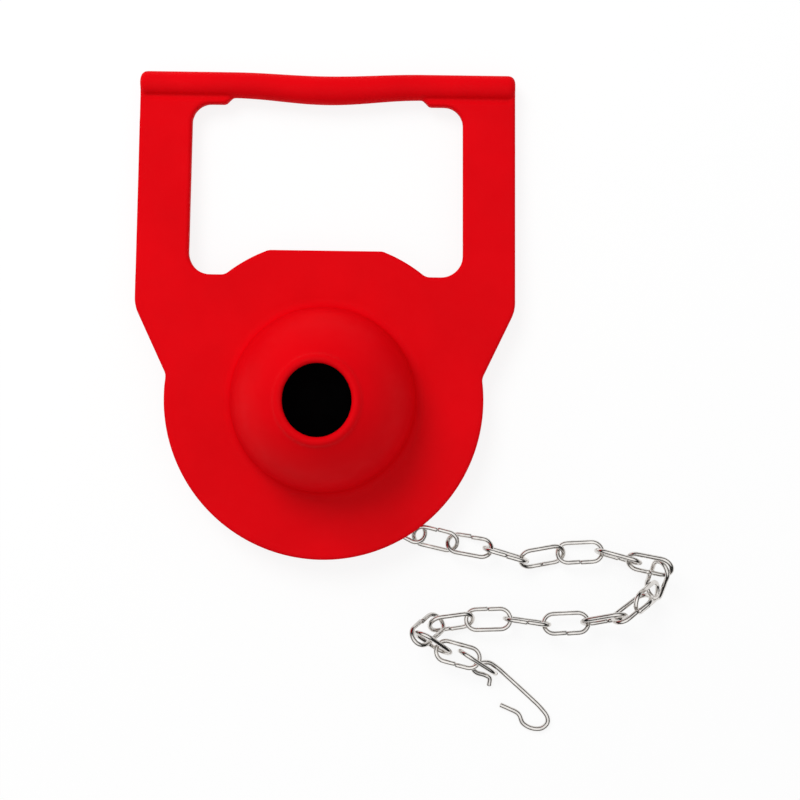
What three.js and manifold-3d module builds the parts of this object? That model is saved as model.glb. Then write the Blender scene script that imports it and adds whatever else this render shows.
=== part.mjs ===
// Toilet flapper: a rubber cistern valve flap that lies bulb up, with its lift chain and clip beside it.
// Millimetres, +Z up. The origin is the middle of the disc's back, the side that faces the floor.
// +X is to the right of the window, +Y points from the disc towards the hinge bar.

import * as THREE from 'three';
import { mergeVertices } from 'three/addons/utils/BufferGeometryUtils.js';
import Module from 'manifold-3d';

// Driving dimensions of the plate, seen from above
const discRadius = 41;
const plateThickness = 3;
const plateEdge = 0.6;            // rounding of the plate's edges
const bodyLength = 83.8;          // from the disc's centre to the outside of the hinge bar
const frameHalfWidth = 48;        // at the hinge bar
const sideFlare = 0.8;            // how much wider each side is at the shoulder
const frameTopCorner = 2.5;
const sideLength = 56;            // the straight sides, from the bar's middle down to the shoulder
const shoulderRadius = 3;
const neckHeight = 6.9;           // where the sloping sides meet the disc
const neckFillet = 3;
const armWidth = 13.4;
const windowTopWeb = 4.9;         // plate left between the bar's middle and the window at the sides
const windowPocket = 6.45;        // the pockets beside the disc reach this far below the chord
const windowCorner = 4.9;
const chordInset = 2.7;           // how far the disc is cut flat at the window
const chordRounding = 3;
const rampTrim = 0.2;             // share of the ramp beside the chord that each rounded end takes
const filletShare = 0.65;         // no fillet takes more than this share of a straight run

// Driving dimensions of the hinge bar
const barRadius = 3.25;
const barSwell = 0.35;            // extra radius in the middle of its free span
const barSag = 1.1;               // how far the free span bows towards the disc
const barEndRounding = 1.8;
const bareBarHalf = 24.4;         // the bar is free of the plate this far each side of its middle
const bareBarStep = 1.7;          // slope of the step at the end of the free span

// Driving dimensions of the bulb and the chain lug
const bulbRadius = 23.6;
const bulbHeight = 27;            // above the plate's front face
const bulbWall = 2.2;
const bulbFillet = 2;
const mouthRadius = 8.5;
const lipRadius = 0.95;
const lipFall = 0.64;             // how far round the lip, in radians below level, the dome meets it
const hollowEdge = 0.1;           // the hollow starts this far outside the middle of the lip
const lugInset = 6.4;             // from the disc's front edge to the lug's middle
const lugWidth = 6.4;
const lugThickness = 2.6;
const lugDepth = 6;
const lugRounding = 2.2;
const lugHoleRadius = 1.5;
const lugHoleDepth = 3.5;

// Driving dimensions of the chain and the clip
const linkLength = 12.8;
const linkWidth = 6.5;
const linkWire = 1.2;
const eyeClearance = 0.1;         // between the first link's wire and the side of the lug's eye
const clipWire = 1.3;
const clipSeat = 1.5;             // from the last link's end to the middle of the clip's eye

// Fineness of the round forms
const wireSides = 8;
const clipSides = 10;
const linkSteps = 18;
const clipSteps = 72;
const barSides = 20;
const sagSteps = 20;
const bulbSteps = 60;
const domeSteps = 12;
const discSteps = 26;
const cornerSteps = 4;
const pocketSteps = 6;
const rampSteps = 3;
const lipSteps = 9;
const lugHoleSteps = 16;
const edgeSteps = 2;

const barY = bodyLength - barRadius;
const barZ = plateThickness / 2;
const lugY = -(discRadius - lugInset);
const windowTop = barY - windowTopWeb;
const chordHeight = discRadius - chordInset;
const windowBottom = chordHeight - windowPocket;

// Half the frame's width at a height
const sideAt = (y) => frameHalfWidth + sideFlare * (barY - y) / sideLength;

// The body rests on the lug's inner edge and on the bar's middle, so it leans back by this angle about X.
const barMiddleRadius = barRadius + barSwell;
const lugToBarY = barY - barSag - (lugY + lugThickness / 2);
const lugToBarZ = barZ + lugDepth;
const restLean = Math.atan2(lugToBarY, lugToBarZ)
  - Math.acos(barMiddleRadius / Math.hypot(lugToBarY, lugToBarZ));
const floorZ = (lugY + lugThickness / 2) * Math.sin(restLean) - lugDepth * Math.cos(restLean);

const wasm = await Module();
wasm.setup();

function toSolid(geometry) {
  geometry.deleteAttribute('normal');
  geometry.deleteAttribute('uv');
  const merged = mergeVertices(geometry, 1e-4);
  return new wasm.Manifold(new wasm.Mesh({
    numProp: 3,
    vertProperties: new Float32Array(merged.attributes.position.array),
    triVerts: new Uint32Array(merged.index.array),
  }));
}

function toGeometry(solid) {
  const mesh = solid.getMesh();
  const geometry = new THREE.BufferGeometry();
  geometry.setAttribute('position', new THREE.BufferAttribute(new Float32Array(mesh.vertProperties), 3));
  geometry.setIndex(new THREE.BufferAttribute(new Uint32Array(mesh.triVerts), 1));
  geometry.computeVertexNormals();
  return geometry;
}

function arcPoints(x, y, radius, from, to, steps) {
  const points = [];
  for (let i = 0; i <= steps; i += 1) {
    const angle = from + (to - from) * i / steps;
    points.push(new THREE.Vector2(x + radius * Math.cos(angle), y + radius * Math.sin(angle)));
  }
  return points;
}

// The arc that rounds a corner between two straight runs, limited by the shorter of the two.
function roundCorner(before, corner, after, wantedRadius, steps) {
  const back = before.clone().sub(corner);
  const ahead = after.clone().sub(corner);
  const room = filletShare * Math.min(back.length(), ahead.length());
  back.normalize();
  ahead.normalize();
  const half = Math.acos(back.dot(ahead)) / 2;
  const radius = Math.min(wantedRadius, room * Math.tan(half));
  const centre = back.clone().add(ahead).setLength(radius / Math.sin(half)).add(corner);
  const start = back.clone().multiplyScalar(radius / Math.tan(half)).add(corner).sub(centre);
  const turn = Math.sign(back.cross(start)) * (Math.PI - 2 * half);
  return arcPoints(centre.x, centre.y, radius, start.angle(), start.angle() + turn, steps);
}

const mirrored = (points) => points.map((p) => new THREE.Vector2(-p.x, p.y)).reverse();

// Plate: right half of the outline from the bar down to the front of the disc, then its mirror image
function plateOutline() {
  const top = new THREE.Vector2(0, barY);
  const topCorner = new THREE.Vector2(frameHalfWidth, barY);
  const shoulder = new THREE.Vector2(sideAt(barY - sideLength), barY - sideLength);
  const neckAngle = Math.asin(neckHeight / discRadius);
  const neck = new THREE.Vector2(discRadius * Math.cos(neckAngle), neckHeight);
  const discStart = neckAngle - neckFillet / 2 / discRadius;
  const disc = arcPoints(0, 0, discRadius, discStart, -Math.PI / 2, discSteps);
  const side = [
    ...roundCorner(top, topCorner, shoulder, frameTopCorner, cornerSteps),
    ...roundCorner(topCorner, shoulder, neck, shoulderRadius, cornerSteps),
    ...roundCorner(shoulder, neck, disc[0], neckFillet, cornerSteps),
    ...disc.slice(1, -1),
  ];
  const front = disc[disc.length - 1];
  return [...side, front, ...mirrored(side)];
}

// Window: right half from the flat chord round the pocket and up to the free span of the bar
function windowOutline() {
  const chordX = Math.sqrt(discRadius ** 2 - chordHeight ** 2);
  const rampFootX = Math.sqrt(discRadius ** 2 - windowBottom ** 2);
  const chordMiddle = new THREE.Vector2(0, chordHeight);
  const chordEnd = new THREE.Vector2(chordX, chordHeight);
  const rampFoot = new THREE.Vector2(rampFootX, windowBottom);
  const rampTop = Math.atan2(chordHeight, chordX);
  const rampEnd = Math.atan2(windowBottom, rampFootX);
  const trim = (rampEnd - rampTop) * rampTrim;
  const ramp = arcPoints(0, 0, discRadius, rampTop + trim, rampEnd - trim, rampSteps);
  const low = new THREE.Vector2(sideAt(windowBottom) - armWidth, windowBottom);
  const high = new THREE.Vector2(sideAt(windowTop) - armWidth, windowTop);
  const stepFoot = new THREE.Vector2(bareBarHalf + bareBarStep, windowTop);
  const stepTop = new THREE.Vector2(bareBarHalf, windowTop + bareBarStep);
  const insideBar = new THREE.Vector2(bareBarHalf, barY - barRadius / 2);
  const side = [
    ...roundCorner(chordMiddle, chordEnd, ramp[0], chordRounding, rampSteps),
    ...ramp,
    ...roundCorner(ramp[ramp.length - 1], rampFoot, low, chordRounding, rampSteps),
    ...roundCorner(rampFoot, low, high, windowCorner, pocketSteps),
    ...roundCorner(low, high, stepFoot, windowCorner, pocketSteps),
    stepFoot,
    stepTop,
    insideBar,
  ];
  return [...side, ...mirrored(side)];
}

function makePlate() {
  const shape = new THREE.Shape(plateOutline());
  shape.holes.push(new THREE.Path(windowOutline()));
  const geometry = new THREE.ExtrudeGeometry(shape, {
    depth: plateThickness - 2 * plateEdge,
    bevelThickness: plateEdge,
    bevelSize: plateEdge,
    bevelOffset: -plateEdge,
    bevelSegments: edgeSteps,
  });
  geometry.translate(0, 0, plateEdge);
  return toSolid(geometry);
}

// Share of the full sag at a place along the bar: 1 in the middle, 0 at the ends of the free span
function bowAt(x) {
  const share = Math.min(1, Math.abs(x) / bareBarHalf);
  return (1 + Math.cos(Math.PI * share)) / 2;
}

function makeBar() {
  const half = frameHalfWidth;
  const endStart = barRadius - barEndRounding;
  const end = arcPoints(endStart, half - barEndRounding, barEndRounding, Math.PI / 2, 0, cornerSteps);
  const body = [];
  for (let i = 1; i < sagSteps; i += 1) {
    const x = bareBarHalf * (1 - 2 * i / sagSteps);
    body.push(new THREE.Vector2(barRadius + barSwell * bowAt(x), x));
  }
  const lower = end.map((p) => new THREE.Vector2(p.x, -p.y)).reverse();
  const profile = [new THREE.Vector2(0, half), ...end, ...body, ...lower, new THREE.Vector2(0, -half)];
  const geometry = new THREE.LatheGeometry(profile.reverse(), barSides);
  geometry.rotateZ(-Math.PI / 2);
  const place = geometry.attributes.position;
  for (let i = 0; i < place.count; i += 1) {
    place.setY(i, place.getY(i) - barSag * bowAt(place.getX(i)));
  }
  geometry.translate(0, barY, barZ);
  return toSolid(geometry);
}

// Bulb: a hollow dome that is an ellipse in section, with a rolled lip round its mouth
function makeBulb() {
  const lipCentre = new THREE.Vector2(mouthRadius + lipRadius, plateThickness + bulbHeight - lipRadius);
  const foot = bulbRadius + bulbFillet;
  const inside = bulbRadius - bulbWall;
  const domeEnd = lipCentre.x + lipRadius * Math.cos(lipFall);
  const domeHeight = (lipCentre.y - lipRadius * Math.sin(lipFall) - plateThickness)
    / Math.sqrt(1 - (domeEnd / bulbRadius) ** 2);
  const hollowHeight = domeHeight - bulbWall;
  const dome = [];
  const hollow = [];
  const domeStart = Math.asin(bulbFillet / domeHeight);
  const domeStop = Math.acos(domeEnd / bulbRadius);
  const hollowStop = Math.acos((lipCentre.x + hollowEdge) / inside);
  for (let i = 1; i <= domeSteps; i += 1) {
    const out = domeStart + (domeStop - domeStart) * i / domeSteps;
    const into = hollowStop * (1 - (i - 1) / (domeSteps - 1));
    dome.push(new THREE.Vector2(bulbRadius * Math.cos(out), plateThickness + domeHeight * Math.sin(out)));
    hollow.push(new THREE.Vector2(inside * Math.cos(into), plateThickness + hollowHeight * Math.sin(into)));
  }
  const profile = [
    new THREE.Vector2(inside, barZ),
    new THREE.Vector2(foot, barZ),
    ...arcPoints(foot, plateThickness + bulbFillet, bulbFillet, -Math.PI / 2, -Math.PI, cornerSteps),
    ...dome,
    ...arcPoints(lipCentre.x, lipCentre.y, lipRadius, -lipFall / 3, Math.PI * 1.2, lipSteps),
    ...hollow,
    new THREE.Vector2(inside, barZ),
  ];
  const geometry = new THREE.LatheGeometry(profile, bulbSteps);
  geometry.rotateX(Math.PI / 2);
  return toSolid(geometry);
}

// Chain lug: a tab on the disc's back with a round eye for the first link
function makeLug() {
  const root = barZ;
  const left = new THREE.Vector2(-lugWidth / 2, root);
  const lowLeft = new THREE.Vector2(-lugWidth / 2, -lugDepth);
  const lowRight = new THREE.Vector2(lugWidth / 2, -lugDepth);
  const right = new THREE.Vector2(lugWidth / 2, root);
  const shape = new THREE.Shape([
    left,
    ...roundCorner(left, lowLeft, lowRight, lugRounding, cornerSteps),
    ...roundCorner(lowLeft, lowRight, right, lugRounding, cornerSteps),
    right,
  ]);
  const eye = arcPoints(0, -lugHoleDepth, lugHoleRadius, 0, 2 * Math.PI, lugHoleSteps).slice(0, -1);
  shape.holes.push(new THREE.Path(eye));
  const geometry = new THREE.ExtrudeGeometry(shape, { depth: lugThickness, bevelEnabled: false });
  geometry.rotateX(Math.PI / 2);
  geometry.translate(0, lugY + lugThickness / 2, 0);
  return toSolid(geometry);
}

function makeBody() {
  const material = new THREE.MeshStandardMaterial({ color: 0xd8060f, roughness: 0.5, metalness: 0 });
  const solid = makePlate().add(makeBar()).add(makeBulb()).add(makeLug());
  const body = new THREE.Mesh(toGeometry(solid), material);
  body.name = 'flapper_body';
  body.rotation.x = restLean;
  return body;
}

const steel = () => new THREE.MeshStandardMaterial({ color: 0xb9b6b2, roughness: 0.22, metalness: 1 });

// Places where two links meet, chosen along the chain as it lies: x and y from the lug's eye and the
// height above the floor, all in lengths of a link's inside. The last is the clip's eye.
const chainRoute = [
  [0.78, 0.13, 0.19],
  [1.58, 0.37, 0.19],
  [2.34, -0.04, 0.17],
  [3.13, -0.21, 0.21],
  [4.05, -0.35, 0.33],
  [4.94, -0.61, 0.33],
  [5.88, -0.45, 0.21],
  [6.84, -0.38, 0.29],
  [7.75, -0.59, 0.55],
  [8.31, -0.66, 0.81],
  [8.19, -1.40, 0.29],
  [7.85, -1.55, 0.69],
  [7.36, -1.88, 0.87],
  [6.51, -2.13, 0.49],
  [5.53, -2.20, 0.43],
  [4.57, -2.09, 0.38],
  [3.60, -2.16, 0.24],
  [2.72, -2.25, 0.44],
  [2.40, -2.43, 0.84],
  [2.99, -2.91, 0.42],
  [3.67, -3.08, 0.46],
  [4.00, -3.31, 0.34],
];
const linkInside = linkLength - 2 * linkWire;
const firstStep = linkInside * chainRoute[0][0];
const lugEye = new THREE.Vector3(
  (linkLength - linkWire - firstStep) / 2 - (lugHoleRadius - linkWire / 2 - eyeClearance),
  lugY,
  lugY * Math.sin(restLean) - lugHoleDepth * Math.cos(restLean) - floorZ,
);
const meetings = [lugEye, ...chainRoute.map(([x, y, height]) => new THREE.Vector3(
  lugEye.x + linkInside * x,
  lugEye.y + linkInside * y,
  linkInside * height,
))];

// How far each link is turned about its own length: 0 lies flat and 90 stands on its edge.
const linkTurns = [
  -10, 30, -25, 20, -35, 90, 30, -25, 76, 34, 53, -23, 72, -63, 28, -84, 11, -40, 14, 63, -16, 80,
];

// A wire link: a ring drawn out along X
function makeLinkGeometry() {
  const ringRadius = (linkWidth - linkWire) / 2;
  const reach = (linkLength - linkWidth) / 2;
  const geometry = new THREE.TorusGeometry(ringRadius, linkWire / 2, wireSides, linkSteps);
  const place = geometry.attributes.position;
  for (let i = 0; i < place.count; i += 1) {
    place.setX(i, place.getX(i) + Math.sign(place.getX(i)) * reach);
  }
  return toGeometry(toSolid(geometry));
}

function makeChain() {
  const chain = new THREE.Group();
  const geometry = makeLinkGeometry();
  linkTurns.forEach((turn, i) => {
    const from = meetings[i];
    const to = meetings[i + 1];
    const along = to.clone().sub(from).normalize();
    const level = new THREE.Vector3(0, 0, 1).cross(along).normalize();
    const angle = THREE.MathUtils.degToRad(turn);
    const across = level.applyAxisAngle(along, angle);
    const facing = along.clone().cross(across);
    const link = new THREE.Mesh(geometry.clone(), steel());
    link.name = `chain_link_${String(i + 1).padStart(2, '0')}`;
    link.quaternion.setFromRotationMatrix(new THREE.Matrix4().makeBasis(along, across, facing));
    link.position.copy(from).lerp(to, 0.5);
    chain.add(link);
  });
  chain.position.z = floorZ;
  return chain;
}

// The clip's wire, from the tail of its eye to the tip of its hook: along the shank, to its right, height
const clipRoute = [
  [6, 4.3, 0.65],
  [4.7, 2.8, 0.9],
  [3, 3.1, 1.3],
  [1, 3.9, 1.9],
  [-0.4, 3.7, 2.3],
  [-0.6, 2.4, 2.6],
  [0.2, 0.9, 2.6],
  [1.6, -0.3, 2.1],
  [4, -0.7, 1.5],
  [9, -0.7, 0.8],
  [16, -0.7, 0.65],
  [19.7, -0.6, 0.65],
  [22.9, 0, 0.65],
  [24.1, 1.2, 0.65],
  [23.9, 3.3, 0.65],
  [22, 5, 0.65],
  [19.4, 5.6, 0.65],
  [16.8, 4.6, 0.65],
  [14, 5.3, 0.65],
  [11.7, 6.1, 0.65],
];
const clipHeading = -42;

function makeClip() {
  const route = new THREE.CatmullRomCurve3(clipRoute.map((p) => new THREE.Vector3(p[0], -p[1], p[2])));
  const section = new THREE.Shape(arcPoints(0, 0, clipWire / 2, 0, 2 * Math.PI, clipSides).slice(0, -1));
  const geometry = new THREE.ExtrudeGeometry(section, { steps: clipSteps, extrudePath: route });
  const clip = new THREE.Mesh(toGeometry(toSolid(geometry)), steel());
  clip.name = 'lift_clip';
  clip.rotation.z = THREE.MathUtils.degToRad(clipHeading);
  const chainEnd = meetings[meetings.length - 1];
  clip.position.set(chainEnd.x, chainEnd.y + clipSeat, floorZ);
  return clip;
}

const flapper = new THREE.Group();
flapper.add(makeBody());
flapper.add(makeChain());
flapper.add(makeClip());

export default flapper;
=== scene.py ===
import math

import bpy
import numpy as np
from mathutils import Matrix, Vector


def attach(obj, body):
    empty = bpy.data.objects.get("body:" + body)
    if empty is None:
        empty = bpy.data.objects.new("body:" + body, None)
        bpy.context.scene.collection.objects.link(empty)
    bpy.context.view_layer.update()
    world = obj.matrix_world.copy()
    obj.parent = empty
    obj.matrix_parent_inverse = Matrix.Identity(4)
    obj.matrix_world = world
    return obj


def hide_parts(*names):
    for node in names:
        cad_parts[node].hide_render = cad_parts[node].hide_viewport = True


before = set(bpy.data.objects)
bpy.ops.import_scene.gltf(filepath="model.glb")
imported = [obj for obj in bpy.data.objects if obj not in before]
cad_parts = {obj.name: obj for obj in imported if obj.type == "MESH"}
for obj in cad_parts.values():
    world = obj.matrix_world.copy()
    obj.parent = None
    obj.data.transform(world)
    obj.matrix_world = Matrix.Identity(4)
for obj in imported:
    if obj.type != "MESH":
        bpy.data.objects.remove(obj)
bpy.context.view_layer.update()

MM = 0.001

# Body, in millimetres, in the moulding's own frame. X is across, Y is towards the hinge bar, and Z is up from
# the disc's flat back.
DISC_RADIUS = 41.0
PLATE_THICKNESS = 3.0
PLATE_EDGE = 0.7
BODY_LENGTH = 83.8
FRAME_HALF_WIDTH = 48.0
SIDE_FLARE = 0.8
FRAME_TOP_CORNER = 2.5
SIDE_LENGTH = 57.0
SHOULDER_RADIUS = 9.0
NECK_HEIGHT = 6.0
NECK_FILLET = 3.0
ARM_WIDTH = 13.4
WINDOW_TOP_WEB = 4.9
WINDOW_POCKET = 6.45
WINDOW_CORNER = 4.9
WINDOW_LOW_CORNER = 5.6
CHORD_INSET = 2.7
CHORD_ROUNDING = 3.0
RAMP_TRIM = 0.2
BAR_RADIUS = 3.25
BAR_SWELL = 0.35
BAR_SAG = 1.1
BAR_END_ROUNDING = 1.8
BARE_BAR_HALF = 24.4
BARE_BAR_STEP = 1.7
STEP_ROUNDING = 0.8
BULB_RADIUS = 23.6
BULB_HEIGHT = 27.0
BULB_WALL = 2.2
MOUTH_RADIUS = 8.65
MOUTH_OVAL = 0.03
LIP_RADIUS = 0.9
LIP_FALL = 0.1
THROAT_SHARE = 0.3
LUG_INSET = 6.4
LUG_WIDTH = 6.4
LUG_THICKNESS = 2.6
LUG_DEPTH = 6.0
LUG_ROUNDING = 2.2
LUG_EDGE = 0.4
LUG_HOLE_RADIUS = 1.5
LUG_HOLE_DEPTH = 3.5

# The shallow groove beside the hinge bar's free span
GROOVE_Y = 77.2
GROOVE_RADIUS = 0.5
GROOVE_HEIGHT = 0.12
GROOVE_END = 1.2

# Soft joins of the moulding, as the width over which two forms run together, and the mesh's cell size
BULB_BLEND = 2.4
BAR_BLEND = 0.5
LUG_BLEND = 1.2
LIP_BLEND = 1.2
GRID_STEP = 0.56
GRID_MARGIN = 1

# The painted shade inside the bulb, a near-black colour standing in for the shade in its hollow, starts this
# far above the middle of its lip, and is full this much deeper.
# A dome this much taller than the bulb tells its inside from its outside.
HOLLOW_EDGE = 0.1
HOLLOW_FADE = 0.9
HOLLOW_STRETCH = 1.06

# Chain: wire links, each with a butt joint in one leg, whose two tips are a little out of line.
# The joint is in the leg on the side away from JOINT_LOOKS, and on the side towards it in the upper ones.
LINK_LENGTH = 12.8
LINK_WIDTH = 6.5
LINK_WIRE = 1.2
LINK_SIDES = 18
TIP_DOME = 0.1
TIP_PROFILE = ((-0.92, 0.4), (-0.7, 0.72), (-0.35, 0.94))
JOINT_GAP = 0.04
JOINT_SKEW = 0.12
JOINT_SEED = 11
JOINT_REACH = 7
JOINT_LOOKS = np.array([0.0, 1.0, 0.6])
UPPER_JOINTS = ("04", "05", "06", "11", "13", "16", "17", "19")

# Clip: its wire's route, as along the shank, to its right and height above the floor
CLIP_WIRE = 1.3
CLIP_SIDES = 20
CLIP_STEPS = 12
CLIP_PLACE = (42.54, -67.52)
CLIP_HEADING = -42
CLIP_ROUTE = [
    (6, 4.3, 0.65), (4.7, 2.8, 0.9), (3, 3.1, 1.3), (1, 3.9, 1.9), (-0.4, 3.7, 2.3),
    (-0.6, 2.4, 2.6), (0.2, 0.9, 2.6), (1.6, -0.3, 2.1), (4, -0.7, 1.5), (9, -0.7, 0.8),
    (16, -0.7, 0.65), (19.7, -0.6, 0.65), (22.9, 0, 0.65), (24.1, 1.2, 0.65), (23.9, 3.3, 0.65),
    (22, 5, 0.65), (19.4, 5.6, 0.65), (16.8, 4.6, 0.65), (14, 5.3, 0.65), (11.7, 6.1, 0.65),
]

# Camera, in the moulding's frame, and the studio
IMAGE_PX = 800
SENSOR_WIDTH = 36.0
CAMERA_FOCAL_PX = 1270.5
CAMERA_PLACE = (19.6, 0.28, 328.0)
CAMERA_ROLL = 0.81
FLOOR_COLOUR = (0.93, 0.93, 0.93, 1)
FLOOR_WHITE = 0.84
FLOOR_STRENGTH = 1.015
FLOOR_HALF = 4000
FLOOR_GAP = 0.02
WORLD_FILL = 0.63
TENT_RADIUS = 900
TENT_RINGS = 13
TENT_SIDES = 48
TENT_BANDS = ((0.0, 0.02), (0.56, 0.03), (0.78, 1.05), (1.0, 1.2))
KEY_PLACE = (-280, 430, 560)
KEY_SIZE = 420
KEY_POWER = 3.0

# Colours, linear, and gloss
RUBBER_RED = (0.74, 0.0006, 0.0042, 1)
RUBBER_DEEP = (0.67, 0.0004, 0.0034, 1)
# The next colour is painted shade: near-black standing in for the shade inside the bulb.
RUBBER_HOLLOW_SHADE = (0.0012, 0.0002, 0.0003, 1)
STEEL_BRIGHT = (0.82, 0.79, 0.755, 1)
STEEL_DULL = (0.58, 0.555, 0.53, 1)
RUBBER_SPECULAR = 0.025
RUBBER_ROUGH = (0.46, 0.58)
STEEL_ROUGH = (0.1, 0.2)

# Noise, in cells a metre, and the height of each bump in metres
RUBBER_CLOUDS = 45
RUBBER_SHEEN = 260
RUBBER_WAVES = 120
RUBBER_GRAIN = 1900
RUBBER_WAVE_HEIGHT = 0.00012
RUBBER_GRAIN_HEIGHT = 0.00002
STEEL_WEAR = 420
STEEL_SHEEN = 700
STEEL_DENTS = 500
STEEL_DENT_HEIGHT = 0.00003

BAR_Y = BODY_LENGTH - BAR_RADIUS
BAR_Z = PLATE_THICKNESS / 2
LUG_Y = -(DISC_RADIUS - LUG_INSET)
WINDOW_TOP = BAR_Y - WINDOW_TOP_WEB
CHORD_HEIGHT = DISC_RADIUS - CHORD_INSET
WINDOW_BOTTOM = CHORD_HEIGHT - WINDOW_POCKET

# The body leans back on its lug and its bar, as the part's solids do.
LUG_TO_BAR_Y = BAR_Y - BAR_SAG - (LUG_Y + LUG_THICKNESS / 2)
LUG_TO_BAR_Z = BAR_Z + LUG_DEPTH
REST_LEAN = (math.atan2(LUG_TO_BAR_Y, LUG_TO_BAR_Z)
             - math.acos((BAR_RADIUS + BAR_SWELL) / math.hypot(LUG_TO_BAR_Y, LUG_TO_BAR_Z)))
FLOOR_Z = (LUG_Y + LUG_THICKNESS / 2) * math.sin(REST_LEAN) - LUG_DEPTH * math.cos(REST_LEAN)
BODY_TO_FRAME = Matrix.Rotation(REST_LEAN, 4, "X")


def side_at(y):
    return FRAME_HALF_WIDTH + SIDE_FLARE * (BAR_Y - y) / SIDE_LENGTH


def arc_points(x, y, radius, start, stop, steps):
    angles = np.linspace(start, stop, steps + 1)
    return [(x + radius * math.cos(a), y + radius * math.sin(a)) for a in angles]


def round_corner(before, corner, after, radius, steps=6):
    """The arc that rounds a corner between two straight runs."""
    corner = Vector(corner)
    back = (Vector(before) - corner).normalized()
    ahead = (Vector(after) - corner).normalized()
    half = math.acos(back.dot(ahead)) / 2
    centre = (back + ahead).normalized() * (radius / math.sin(half)) + corner
    start = back * (radius / math.tan(half)) + corner - centre
    turn = math.copysign(math.pi - 2 * half, back.cross(start))
    angle = math.atan2(start.y, start.x)
    return arc_points(centre.x, centre.y, radius, angle, angle + turn, steps)


def mirrored(points):
    return [(-x, y) for x, y in reversed(points)]


def plate_outline():
    top = (0, BAR_Y)
    top_corner = (FRAME_HALF_WIDTH, BAR_Y)
    shoulder = (side_at(BAR_Y - SIDE_LENGTH), BAR_Y - SIDE_LENGTH)
    neck_angle = math.asin(NECK_HEIGHT / DISC_RADIUS)
    neck = (DISC_RADIUS * math.cos(neck_angle), NECK_HEIGHT)
    disc = arc_points(0, 0, DISC_RADIUS, neck_angle - NECK_FILLET / 2 / DISC_RADIUS, -math.pi / 2, 60)
    side = [
        *round_corner(top, top_corner, shoulder, FRAME_TOP_CORNER),
        *round_corner(top_corner, shoulder, neck, SHOULDER_RADIUS),
        *round_corner(shoulder, neck, disc[0], NECK_FILLET),
        *disc[1:-1],
    ]
    return [*side, disc[-1], *mirrored(side)]


def window_outline():
    chord_x = math.sqrt(DISC_RADIUS ** 2 - CHORD_HEIGHT ** 2)
    foot_x = math.sqrt(DISC_RADIUS ** 2 - WINDOW_BOTTOM ** 2)
    ramp_top = math.atan2(CHORD_HEIGHT, chord_x)
    ramp_end = math.atan2(WINDOW_BOTTOM, foot_x)
    inset = RAMP_TRIM * (ramp_top - ramp_end)
    ramp = arc_points(0, 0, DISC_RADIUS, ramp_top - inset, ramp_end + inset, 8)
    low = (side_at(WINDOW_BOTTOM) - ARM_WIDTH, WINDOW_BOTTOM)
    high = (side_at(WINDOW_TOP) - ARM_WIDTH, WINDOW_TOP)
    step_foot = (BARE_BAR_HALF + BARE_BAR_STEP, WINDOW_TOP)
    step_top = (BARE_BAR_HALF, WINDOW_TOP + BARE_BAR_STEP)
    inside_bar = (BARE_BAR_HALF, BAR_Y - BAR_RADIUS / 2)
    side = [
        *round_corner((0, CHORD_HEIGHT), (chord_x, CHORD_HEIGHT), ramp[0], CHORD_ROUNDING),
        *ramp,
        *round_corner(ramp[-1], (foot_x, WINDOW_BOTTOM), low, CHORD_ROUNDING),
        *round_corner((foot_x, WINDOW_BOTTOM), low, high, WINDOW_LOW_CORNER, 12),
        *round_corner(low, high, step_foot, WINDOW_CORNER, 12),
        *round_corner(high, step_foot, step_top, STEP_ROUNDING, 3),
        *round_corner(step_foot, step_top, inside_bar, STEP_ROUNDING, 3),
        inside_bar,
    ]
    return [*side, *mirrored(side)]


OUTLINE = np.array(plate_outline())
WINDOW = np.array(window_outline())


def polygon_distance(x, y, polygon):
    """Signed distance in the plane to a closed outline, negative inside."""
    best = np.full(x.shape, 1e9)
    inside = np.zeros(x.shape, bool)
    for (ax, ay), (bx, by) in zip(polygon, np.roll(polygon, -1, axis=0)):
        ex, ey = bx - ax, by - ay
        wx, wy = x - ax, y - ay
        along = np.clip((wx * ex + wy * ey) / (ex * ex + ey * ey), 0, 1)
        best = np.minimum(best, (wx - ex * along) ** 2 + (wy - ey * along) ** 2)
        spans = (ay > y) != (by > y)
        way = np.sign(ey)
        inside ^= spans & (wx * ey * way < wy * ex * way)
    return np.where(inside, -1, 1) * np.sqrt(best)


def rounded_pair(a, b, radius):
    """Two distances met at a rounded edge, as a slab's outline and its thickness."""
    a, b = a + radius, b + radius
    return np.minimum(np.maximum(a, b), 0) + np.hypot(np.maximum(a, 0), np.maximum(b, 0)) - radius


def soft_union(a, b, width):
    blend = np.clip(0.5 + 0.5 * (b - a) / width, 0, 1)
    return b + (a - b) * blend - width * blend * (1 - blend)


def ellipse_distance(r, z, a, b):
    near = np.hypot(r / a, z / b)
    slope = np.hypot(r / a ** 2, z / b ** 2)
    return near * (near - 1) / np.maximum(slope, 1e-9)


def bow_at(x):
    share = np.clip(np.abs(x) / BARE_BAR_HALF, 0, 1)
    return (1 + np.cos(np.pi * share)) / 2


def flat_distance(x, y):
    """Distance in the plane to the plate with its window."""
    return np.maximum(polygon_distance(x, y, OUTLINE), -polygon_distance(x, y, WINDOW))


def plate_distance(x, y, z, flat=None):
    if flat is None:
        flat = flat_distance(x, y)
    return rounded_pair(flat, np.abs(z - BAR_Z) - PLATE_THICKNESS / 2, PLATE_EDGE)


def bar_distance(x, y, z):
    bow = bow_at(x)
    across = np.hypot(y - BAR_Y + BAR_SAG * bow, z - BAR_Z) - BAR_RADIUS - BAR_SWELL * bow
    return rounded_pair(across, np.abs(x) - FRAME_HALF_WIDTH, BAR_END_ROUNDING)


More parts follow.
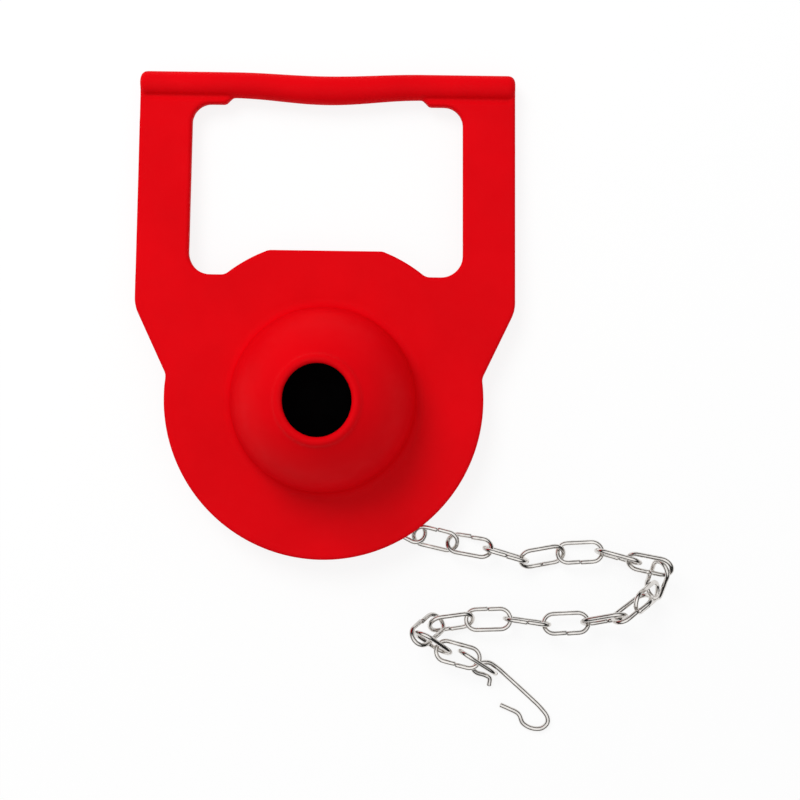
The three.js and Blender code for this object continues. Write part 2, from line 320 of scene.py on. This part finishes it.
def bulb_distance(x, y, z):
    lip_x = MOUTH_RADIUS + LIP_RADIUS
    lip_z = PLATE_THICKNESS + BULB_HEIGHT - LIP_RADIUS
    dome_end = lip_x + LIP_RADIUS * math.cos(LIP_FALL)
    dome_top = lip_z - LIP_RADIUS * math.sin(LIP_FALL) - PLATE_THICKNESS
    tall = dome_top / math.sqrt(1 - (dome_end / BULB_RADIUS) ** 2)
    r = np.hypot(x, y)
    up = z - PLATE_THICKNESS
    outer = ellipse_distance(r, up, BULB_RADIUS, tall)
    inner = ellipse_distance(r, up, BULB_RADIUS - BULB_WALL, tall - BULB_WALL)
    shell = np.maximum(outer, -inner)
    shell = np.maximum(shell, BAR_Z - z)
    oval = np.hypot(x * (1 + MOUTH_OVAL), y * (1 - MOUTH_OVAL))
    above = np.maximum(MOUTH_RADIUS + THROAT_SHARE * LIP_RADIUS - oval, -up)
    shell = np.maximum(shell, above)
    shell = np.maximum(shell, z - lip_z)
    lip = np.hypot(oval - lip_x, z - lip_z) - LIP_RADIUS
    return soft_union(shell, lip, LIP_BLEND)


def lug_distance(x, y, z):
    middle = -(LUG_DEPTH - BAR_Z) / 2
    half = (LUG_DEPTH + BAR_Z) / 2
    side = rounded_pair(np.abs(x) - LUG_WIDTH / 2, np.abs(z - middle) - half, LUG_ROUNDING)
    tab = rounded_pair(side, np.abs(y - LUG_Y) - LUG_THICKNESS / 2, LUG_EDGE)
    hole = LUG_HOLE_RADIUS - np.hypot(x, z + LUG_HOLE_DEPTH)
    return tab, hole


def body_distance(x, y, z, flat=None):
    solid = soft_union(plate_distance(x, y, z, flat), bar_distance(x, y, z), BAR_BLEND)
    groove = np.hypot(y - GROOVE_Y, z - PLATE_THICKNESS - GROOVE_HEIGHT) - GROOVE_RADIUS
    groove = np.maximum(groove, np.abs(x) - FRAME_HALF_WIDTH + GROOVE_END)
    groove = np.maximum(groove, BARE_BAR_HALF - np.abs(x))
    solid = -soft_union(-solid, groove, BAR_BLEND)
    solid = soft_union(solid, bulb_distance(x, y, z), BULB_BLEND)
    tab, hole = lug_distance(x, y, z)
    return np.maximum(soft_union(solid, tab, LUG_BLEND), hole)


def surface_mesh(low, high, step):
    """Surface nets over body_distance: one point in each cell that the surface crosses, joined by quads."""
    axes = [np.arange(a, b + step, step) for a, b in zip(low, high)]
    xs, ys = np.meshgrid(axes[0], axes[1], indexing="ij")
    flat = flat_distance(xs, ys)
    x, y, z = axes[0][:, None, None], axes[1][None, :, None], axes[2][None, None, :]
    field = body_distance(x, y, z, flat[:, :, None])
    inside = field < 0
    corner = [inside[i:inside.shape[0] - 1 + i, j:inside.shape[1] - 1 + j, k:inside.shape[2] - 1 + k]
              for i in (0, 1) for j in (0, 1) for k in (0, 1)]
    count = sum(c.astype(np.int8) for c in corner)
    active = (count > 0) & (count < 8)
    cells = np.argwhere(active)
    index = np.full(active.shape, -1, np.int64)
    index[tuple(cells.T)] = np.arange(len(cells))
    total = np.zeros((len(cells), 3))
    crossings = np.zeros(len(cells))
    for axis in range(3):
        for u in (0, 1):
            for v in (0, 1):
                start = cells.copy()
                start[:, (axis + 1) % 3] += u
                start[:, (axis + 2) % 3] += v
                stop = start.copy()
                stop[:, axis] += 1
                a, b = field[tuple(start.T)], field[tuple(stop.T)]
                cut = (a < 0) != (b < 0)
                share = np.where(cut, a / np.where(cut, a - b, 1), 0)
                point = start.astype(float)
                point[:, axis] += share
                total += point * cut[:, None]
                crossings += cut
    points = total / crossings[:, None] * step + np.array([axes[0][0], axes[1][0], axes[2][0]])
    faces = []
    for axis in range(3):
        here = [slice(None)] * 3
        there = [slice(None)] * 3
        here[axis] = slice(0, -1)
        there[axis] = slice(1, None)
        a, b = inside[tuple(here)], inside[tuple(there)]
        edge = np.argwhere(a != b)
        u, v = (axis + 1) % 3, (axis + 2) % 3
        edge = edge[(edge[:, u] > 0) & (edge[:, v] > 0)]
        quad = []
        for du, dv in ((-1, -1), (0, -1), (0, 0), (-1, 0)):
            cell = edge.copy()
            cell[:, u] += du
            cell[:, v] += dv
            quad.append(index[tuple(cell.T)])
        quad = np.stack(quad, axis=1)
        flip = ~a[tuple(edge.T)]
        quad[flip] = quad[flip][:, ::-1]
        faces.append(quad)
    return points, np.concatenate(faces)


def settle(points, rounds=3, reach=0.05):
    """Moves the points onto the surface along its slope."""
    for _ in range(rounds):
        here = body_distance(*points.T)
        slope = np.stack([
            (body_distance(*(points + reach * d).T) - body_distance(*(points - reach * d).T)) / (2 * reach)
            for d in np.eye(3)], axis=1)
        size = np.maximum((slope ** 2).sum(axis=1), 0.25)
        points = points - slope * (here / size)[:, None]
    return points


def mesh_object(name, points, faces, material):
    mesh = bpy.data.meshes.new(name)
    mesh.from_pydata(np.asarray(points).tolist(), [], [list(f) for f in faces])
    mesh.validate()
    mesh.polygons.foreach_set("use_smooth", [True] * len(mesh.polygons))
    mesh.materials.append(material)
    made = bpy.data.objects.new(name, mesh)
    bpy.context.scene.collection.objects.link(made)
    return made


def hollow_shade_share(points):
    """Share of painted shade on the bulb: 1 on the walls inside the bulb and 0 outside it, with a short run
    between the two under the lip.
    """
    x, y, z = points.T
    lip_z = PLATE_THICKNESS + BULB_HEIGHT - LIP_RADIUS
    r = np.hypot(x, y)
    tall = BULB_HEIGHT * HOLLOW_STRETCH
    middle = np.hypot(r / (BULB_RADIUS - BULB_WALL / 2), (z - PLATE_THICKNESS) / (tall - BULB_WALL / 2))
    inside = (middle < 1) & (z > BAR_Z)
    throat = (r < MOUTH_RADIUS + LIP_RADIUS) & (z > BAR_Z)
    deep = np.clip((lip_z + HOLLOW_EDGE - z) / HOLLOW_FADE, 0, 1)
    return np.where(inside | throat, deep, 0)


def make_body(material):
    half_width = FRAME_HALF_WIDTH + SIDE_FLARE + GRID_MARGIN
    top = PLATE_THICKNESS + BULB_HEIGHT + GRID_MARGIN
    low = (-half_width, -DISC_RADIUS - GRID_MARGIN, -LUG_DEPTH - GRID_MARGIN)
    high = (half_width, BODY_LENGTH + GRID_MARGIN, top)
    points, faces = surface_mesh(low, high, GRID_STEP)
    points = settle(points)
    turn = np.array(BODY_TO_FRAME.to_3x3())
    body = mesh_object("flapper_moulding", points @ turn.T * MM, faces, material)
    # Per-point share of painted shade, for the near-black inside of the bulb.
    hollow_shade = body.data.attributes.new("hollow_shade", "FLOAT", "POINT")
    hollow_shade.data.foreach_set("value", hollow_shade_share(points))
    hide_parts("flapper_body")
    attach(body, "root")


def tube(path, radius, sides):
    """Points and faces of a round wire along an open path, with domed ends."""
    path = np.asarray(path, float)
    ahead = np.roll(path, -1, axis=0) - path
    behind = path - np.roll(path, 1, axis=0)
    tangent = ahead + behind
    tangent[0], tangent[-1] = ahead[0], behind[-1]
    tangent /= np.linalg.norm(tangent, axis=1)[:, None]
    start = np.array([0, 0, 1.0]) if abs(tangent[0][2]) < 0.9 else np.array([1.0, 0, 0])
    side = np.cross(tangent[0], start)
    side /= np.linalg.norm(side)
    rings = []
    angles = np.linspace(0, 2 * math.pi, sides, endpoint=False)
    for place, along in zip(path, tangent):
        side = side - along * side.dot(along)
        side /= np.linalg.norm(side)
        rings.append((place, along, side, np.cross(along, side)))
    layers = []
    place, along, side, up = rings[0]
    for back, share in TIP_PROFILE:
        layers.append((place + along * radius * TIP_DOME * back, side, up, radius * share))
    for place, along, side, up in rings:
        layers.append((place, side, up, radius))
    for back, share in reversed(TIP_PROFILE):
        layers.append((place - along * radius * TIP_DOME * back, side, up, radius * share))
    points = []
    for place, side, up, size in layers:
        points.extend(place + size * (math.cos(a) * side + math.sin(a) * up) for a in angles)
    first, last = rings[0], rings[-1]
    points.append(first[0] - first[1] * radius * TIP_DOME)
    points.append(last[0] + last[1] * radius * TIP_DOME)
    faces = []
    for layer in range(len(layers) - 1):
        for k in range(sides):
            a, b = layer * sides + k, layer * sides + (k + 1) % sides
            faces.append((a, b, b + sides, a + sides))
    end = len(points) - 2
    top = (len(layers) - 1) * sides
    for k in range(sides):
        faces.append((end, (k + 1) % sides, k))
        faces.append((end + 1, top + k, top + (k + 1) % sides))
    return np.array(points), faces


def link_path(gap, skew):
    """The middle of a link's wire: X along the link, Y across it, open in the middle of the +Y leg."""
    ring = (LINK_WIDTH - LINK_WIRE) / 2
    reach = (LINK_LENGTH - LINK_WIDTH) / 2
    leg = np.linspace(gap / 2, reach, 6)[:-1]
    path = [(x, ring, 0) for x in leg]
    path += [(reach + ring * math.sin(a), ring * math.cos(a), 0) for a in np.linspace(0, math.pi, 15)]
    path += [(x, -ring, 0) for x in np.linspace(reach, -reach, 9)[1:-1]]
    path += [(-reach - ring * math.sin(a), -ring * math.cos(a), 0) for a in np.linspace(0, math.pi, 15)]
    path += [(-x, ring, 0) for x in leg[::-1]]
    path = np.array(path, float)
    share = np.linspace(-1, 1, len(path)) ** JOINT_REACH
    path[:, 1] += share * skew[0]
    path[:, 2] += share * skew[1]
    return path


def node_axes(name):
    """Middle of a CAD node and its directions from the longest to the thinnest."""
    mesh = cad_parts[name].data
    points = np.empty(len(mesh.vertices) * 3, np.float32)
    mesh.vertices.foreach_get("co", points)
    points = np.unique(np.round(points.reshape(-1, 3).astype(float), 7), axis=0)
    middle = points.mean(axis=0)
    axes = np.linalg.svd(points - middle, full_matrices=False)[2]
    return middle, axes


def make_links(material):
    draw = np.random.RandomState(JOINT_SEED)
    names = sorted(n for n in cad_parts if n.startswith("chain_link_"))
    for name in names:
        middle, (along, across, facing) = node_axes(name)
        if across.dot(JOINT_LOOKS) < 0:
            across = -across
        if name[-2:] not in UPPER_JOINTS:
            across = -across
        facing = np.cross(along, across)
        skew = draw.uniform(-JOINT_SKEW, JOINT_SKEW, 2)
        points, faces = tube(link_path(JOINT_GAP + LINK_WIRE * TIP_DOME, skew), LINK_WIRE / 2, LINK_SIDES)
        placed = points @ np.array([along, across, facing]) * MM + middle
        link = mesh_object(name.replace("chain", "wire"), placed, faces, material)
        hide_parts(name)
        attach(link, "root")


def smooth_route(points, steps):
    """A curve through the points that keeps to them in tight bends."""
    points = np.asarray(points, float)
    ends = np.vstack([2 * points[0] - points[1], points, 2 * points[-1] - points[-2]])
    made = []
    for i in range(len(points) - 1):
        p0, p1, p2, p3 = ends[i:i + 4]
        t1 = np.linalg.norm(p1 - p0) ** 0.5
        t2 = t1 + np.linalg.norm(p2 - p1) ** 0.5
        t3 = t2 + np.linalg.norm(p3 - p2) ** 0.5
        for t in np.linspace(t1, t2, steps, endpoint=False):
            a1 = (t1 - t) / t1 * p0 + t / t1 * p1
            a2 = (t2 - t) / (t2 - t1) * p1 + (t - t1) / (t2 - t1) * p2
            a3 = (t3 - t) / (t3 - t2) * p2 + (t - t2) / (t3 - t2) * p3
            b1 = (t2 - t) / t2 * a1 + t / t2 * a2
            b2 = (t3 - t) / (t3 - t1) * a2 + (t - t1) / (t3 - t1) * a3
            made.append((t2 - t) / (t2 - t1) * b1 + (t - t1) / (t2 - t1) * b2)
    made.append(points[-1])
    return np.array(made)


def make_clip(material):
    route = smooth_route([(x, -y, z) for x, y, z in CLIP_ROUTE], CLIP_STEPS)
    points, faces = tube(route, CLIP_WIRE / 2, CLIP_SIDES)
    place = Matrix.Translation((*CLIP_PLACE, FLOOR_Z)) @ Matrix.Rotation(math.radians(CLIP_HEADING), 4, "Z")
    turn = np.array(place)
    placed = (points @ turn[:3, :3].T + turn[:3, 3]) * MM
    clip = mesh_object("wire_clip", placed, faces, material)
    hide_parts("lift_clip")
    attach(clip, "root")


def new_material(name):
    material = bpy.data.materials.new(name)
    material.use_nodes = True
    nodes = material.node_tree.nodes
    return material, nodes, material.node_tree.links, nodes["Principled BSDF"]


def noise(nodes, links, scale, detail=4.0, rough=0.5):
    """Noise over the object's own coordinates, with its scale in cells a metre."""
    place = nodes.new("ShaderNodeTexCoord")
    made = nodes.new("ShaderNodeTexNoise")
    made.inputs["Scale"].default_value = scale
    made.inputs["Detail"].default_value = detail
    made.inputs["Roughness"].default_value = rough
    links.new(place.outputs["Object"], made.inputs["Vector"])
    return made.outputs["Fac"]


def ramp(nodes, links, value, low, high, start=0.35, stop=0.65):
    made = nodes.new("ShaderNodeValToRGB")
    made.color_ramp.elements[0].position = start
    made.color_ramp.elements[0].color = low
    made.color_ramp.elements[1].position = stop
    made.color_ramp.elements[1].color = high
    links.new(value, made.inputs["Fac"])
    return made.outputs["Color"]


def mix_colour(nodes, links, share, a, b):
    made = nodes.new("ShaderNodeMix")
    made.data_type = "RGBA"
    for value, socket in ((share, made.inputs[0]), (a, made.inputs[6]), (b, made.inputs[7])):
        if hasattr(value, "is_output"):
            links.new(value, socket)
        else:
            socket.default_value = value
    return made.outputs[2]


def to_range(nodes, links, value, low, high):
    """Spreads the middle of a noise over a range."""
    made = nodes.new("ShaderNodeMapRange")
    made.inputs["From Min"].default_value = 0.3
    made.inputs["From Max"].default_value = 0.7
    made.inputs["To Min"].default_value = low
    made.inputs["To Max"].default_value = high
    links.new(value, made.inputs["Value"])
    return made.outputs["Result"]


def bump(nodes, links, shader, height, distance, before=None):
    """Adds a bump to the shader's normal, on top of the one before where there is one."""
    made = nodes.new("ShaderNodeBump")
    made.inputs["Strength"].default_value = 1.0
    made.inputs["Distance"].default_value = distance
    links.new(height, made.inputs["Height"])
    if before:
        links.new(before, made.inputs["Normal"])
    links.new(made.outputs["Normal"], shader.inputs["Normal"])
    return made.outputs["Normal"]


def red_rubber():
    material, nodes, links, shader = new_material("red_rubber")
    cloudy = noise(nodes, links, RUBBER_CLOUDS, 3, 0.55)
    colour = ramp(nodes, links, cloudy, RUBBER_DEEP, RUBBER_RED, 0.3, 0.7)
    # Painted shade: the mask colours the bulb's inside near-black, standing in for the shade in its hollow.
    hollow_shade = nodes.new("ShaderNodeAttribute")
    hollow_shade.attribute_name = "hollow_shade"
    colour = mix_colour(nodes, links, hollow_shade.outputs["Fac"], colour, RUBBER_HOLLOW_SHADE)
    links.new(colour, shader.inputs["Base Color"])
    sheen = noise(nodes, links, RUBBER_SHEEN, 5)
    links.new(to_range(nodes, links, sheen, *RUBBER_ROUGH), shader.inputs["Roughness"])
    shader.inputs["Specular IOR Level"].default_value = RUBBER_SPECULAR
    waves = bump(nodes, links, shader, noise(nodes, links, RUBBER_WAVES, 2), RUBBER_WAVE_HEIGHT)
    bump(nodes, links, shader, noise(nodes, links, RUBBER_GRAIN, 3, 0.6), RUBBER_GRAIN_HEIGHT, waves)
    return material


def steel_wire():
    material, nodes, links, shader = new_material("steel_wire")
    worn = noise(nodes, links, STEEL_WEAR, 4)
    links.new(ramp(nodes, links, worn, STEEL_DULL, STEEL_BRIGHT, 0.3, 0.7), shader.inputs["Base Color"])
    shader.inputs["Metallic"].default_value = 1.0
    sheen = noise(nodes, links, STEEL_SHEEN, 3)
    links.new(to_range(nodes, links, sheen, *STEEL_ROUGH), shader.inputs["Roughness"])
    bump(nodes, links, shader, noise(nodes, links, STEEL_DENTS, 2), STEEL_DENT_HEIGHT)
    return material


def seen_share(nodes, links):
    """1 for what the camera sees directly, in a mirror or through glass."""
    path = nodes.new("ShaderNodeLightPath")
    total = path.outputs["Is Camera Ray"]
    for name in ("Is Glossy Ray", "Is Transmission Ray"):
        add = nodes.new("ShaderNodeMath")
        add.operation = "MAXIMUM"
        links.new(total, add.inputs[0])
        links.new(path.outputs[name], add.inputs[1])
        total = add.outputs[0]
    return total


def make_floor():
    material = bpy.data.materials.new("studio_floor")
    material.use_nodes = True
    nodes, links = material.node_tree.nodes, material.node_tree.links
    nodes.clear()
    matt = nodes.new("ShaderNodeBsdfDiffuse")
    matt.inputs["Color"].default_value = FLOOR_COLOUR
    white = nodes.new("ShaderNodeEmission")
    white.inputs["Color"].default_value = (1, 1, 1, 1)
    white.inputs["Strength"].default_value = FLOOR_STRENGTH
    share = nodes.new("ShaderNodeMath")
    share.operation = "MULTIPLY"
    share.inputs[1].default_value = FLOOR_WHITE
    links.new(seen_share(nodes, links), share.inputs[0])
    mix = nodes.new("ShaderNodeMixShader")
    links.new(share.outputs[0], mix.inputs[0])
    links.new(matt.outputs[0], mix.inputs[1])
    links.new(white.outputs[0], mix.inputs[2])
    out = nodes.new("ShaderNodeOutputMaterial")
    links.new(mix.outputs[0], out.inputs["Surface"])
    z = FLOOR_Z - FLOOR_GAP
    corners = [(-FLOOR_HALF, -FLOOR_HALF, z), (FLOOR_HALF, -FLOOR_HALF, z),
               (FLOOR_HALF, FLOOR_HALF, z), (-FLOOR_HALF, FLOOR_HALF, z)]
    floor = mesh_object("studio_floor", np.array(corners) * MM, [(0, 1, 2, 3)], material)


def make_world():
    world = bpy.data.worlds.new("studio")
    bpy.context.scene.world = world
    world.use_nodes = True
    nodes, links = world.node_tree.nodes, world.node_tree.links
    nodes.clear()
    fill = nodes.new("ShaderNodeBackground")
    fill.inputs["Color"].default_value = (1, 1, 1, 1)
    fill.inputs["Strength"].default_value = WORLD_FILL
    seen = nodes.new("ShaderNodeBackground")
    seen.inputs["Color"].default_value = (1, 1, 1, 1)
    seen.inputs["Strength"].default_value = 1.0
    mix = nodes.new("ShaderNodeMixShader")
    links.new(seen_share(nodes, links), mix.inputs[0])
    links.new(fill.outputs[0], mix.inputs[1])
    links.new(seen.outputs[0], mix.inputs[2])
    out = nodes.new("ShaderNodeOutputWorld")
    links.new(mix.outputs[0], out.inputs["Surface"])


def make_tent():
    """A tent over the object that only glossy surfaces see, with dark walls and a pale top."""
    material = bpy.data.materials.new("studio_tent")
    material.use_nodes = True
    nodes, links = material.node_tree.nodes, material.node_tree.links
    nodes.clear()
    place = nodes.new("ShaderNodeTexCoord")
    split = nodes.new("ShaderNodeSeparateXYZ")
    links.new(place.outputs["Object"], split.inputs[0])
    height = nodes.new("ShaderNodeMath")
    height.operation = "DIVIDE"
    links.new(split.outputs["Z"], height.inputs[0])
    height.inputs[1].default_value = TENT_RADIUS * MM
    bands = nodes.new("ShaderNodeValToRGB")
    for i, (where, level) in enumerate(TENT_BANDS):
        stop = bands.color_ramp.elements[i] if i < 2 else bands.color_ramp.elements.new(where)
        stop.position = where
        stop.color = (level, level, level, 1)
    links.new(height.outputs[0], bands.inputs["Fac"])
    light = nodes.new("ShaderNodeEmission")
    links.new(bands.outputs["Color"], light.inputs["Color"])
    out = nodes.new("ShaderNodeOutputMaterial")
    links.new(light.outputs[0], out.inputs["Surface"])
    points, faces = [], []
    for ring in range(TENT_RINGS):
        tilt = math.pi / 2 * ring / TENT_RINGS
        for k in range(TENT_SIDES):
            a = 2 * math.pi * k / TENT_SIDES
            points.append((TENT_RADIUS * math.cos(tilt) * math.cos(a),
                           TENT_RADIUS * math.cos(tilt) * math.sin(a), TENT_RADIUS * math.sin(tilt)))
    points.append((0, 0, TENT_RADIUS))
    for k in range(TENT_SIDES):
        following = (k + 1) % TENT_SIDES
        rows = [(ring * TENT_SIDES + k, ring * TENT_SIDES + following) for ring in range(TENT_RINGS)]
        faces += [(a, b, d, c) for (a, b), (c, d) in zip(rows, rows[1:])]
        faces.append((*rows[-1], TENT_RINGS * TENT_SIDES))
    tent = mesh_object("studio_tent", np.array(points) * MM, faces, material)
    tent.visible_camera = False
    tent.visible_diffuse = False
    tent.visible_shadow = False
    tent.visible_transmission = False


def make_lamp(name, place, aim, size, power):
    lamp = bpy.data.lights.new(name, "AREA")
    lamp.shape = "DISK"
    lamp.size = size * MM
    lamp.energy = power
    made = bpy.data.objects.new(name, lamp)
    bpy.context.scene.collection.objects.link(made)
    made.location = Vector(place) * MM
    made.rotation_euler = (Vector(aim) - Vector(place)).to_track_quat("-Z", "Y").to_euler()
    made.visible_glossy = False


def make_camera():
    camera = bpy.data.cameras.new("camera")
    camera.sensor_width = SENSOR_WIDTH
    camera.lens = SENSOR_WIDTH * CAMERA_FOCAL_PX / IMAGE_PX
    camera.clip_start = 0.01
    camera.clip_end = 20.0
    made = bpy.data.objects.new("camera", camera)
    bpy.context.scene.collection.objects.link(made)
    place = Matrix.Translation(Vector(CAMERA_PLACE) * MM) @ Matrix.Rotation(math.radians(CAMERA_ROLL), 4, "Z")
    made.matrix_world = BODY_TO_FRAME @ place
    bpy.context.scene.camera = made


bpy.context.scene.view_settings.view_transform = "Standard"
make_camera()
make_world()
make_floor()
make_tent()
make_lamp("key", KEY_PLACE, (0, 0, 0), KEY_SIZE, KEY_POWER)
rubber = red_rubber()
steel = steel_wire()
make_body(rubber)
make_links(steel)
make_clip(steel)
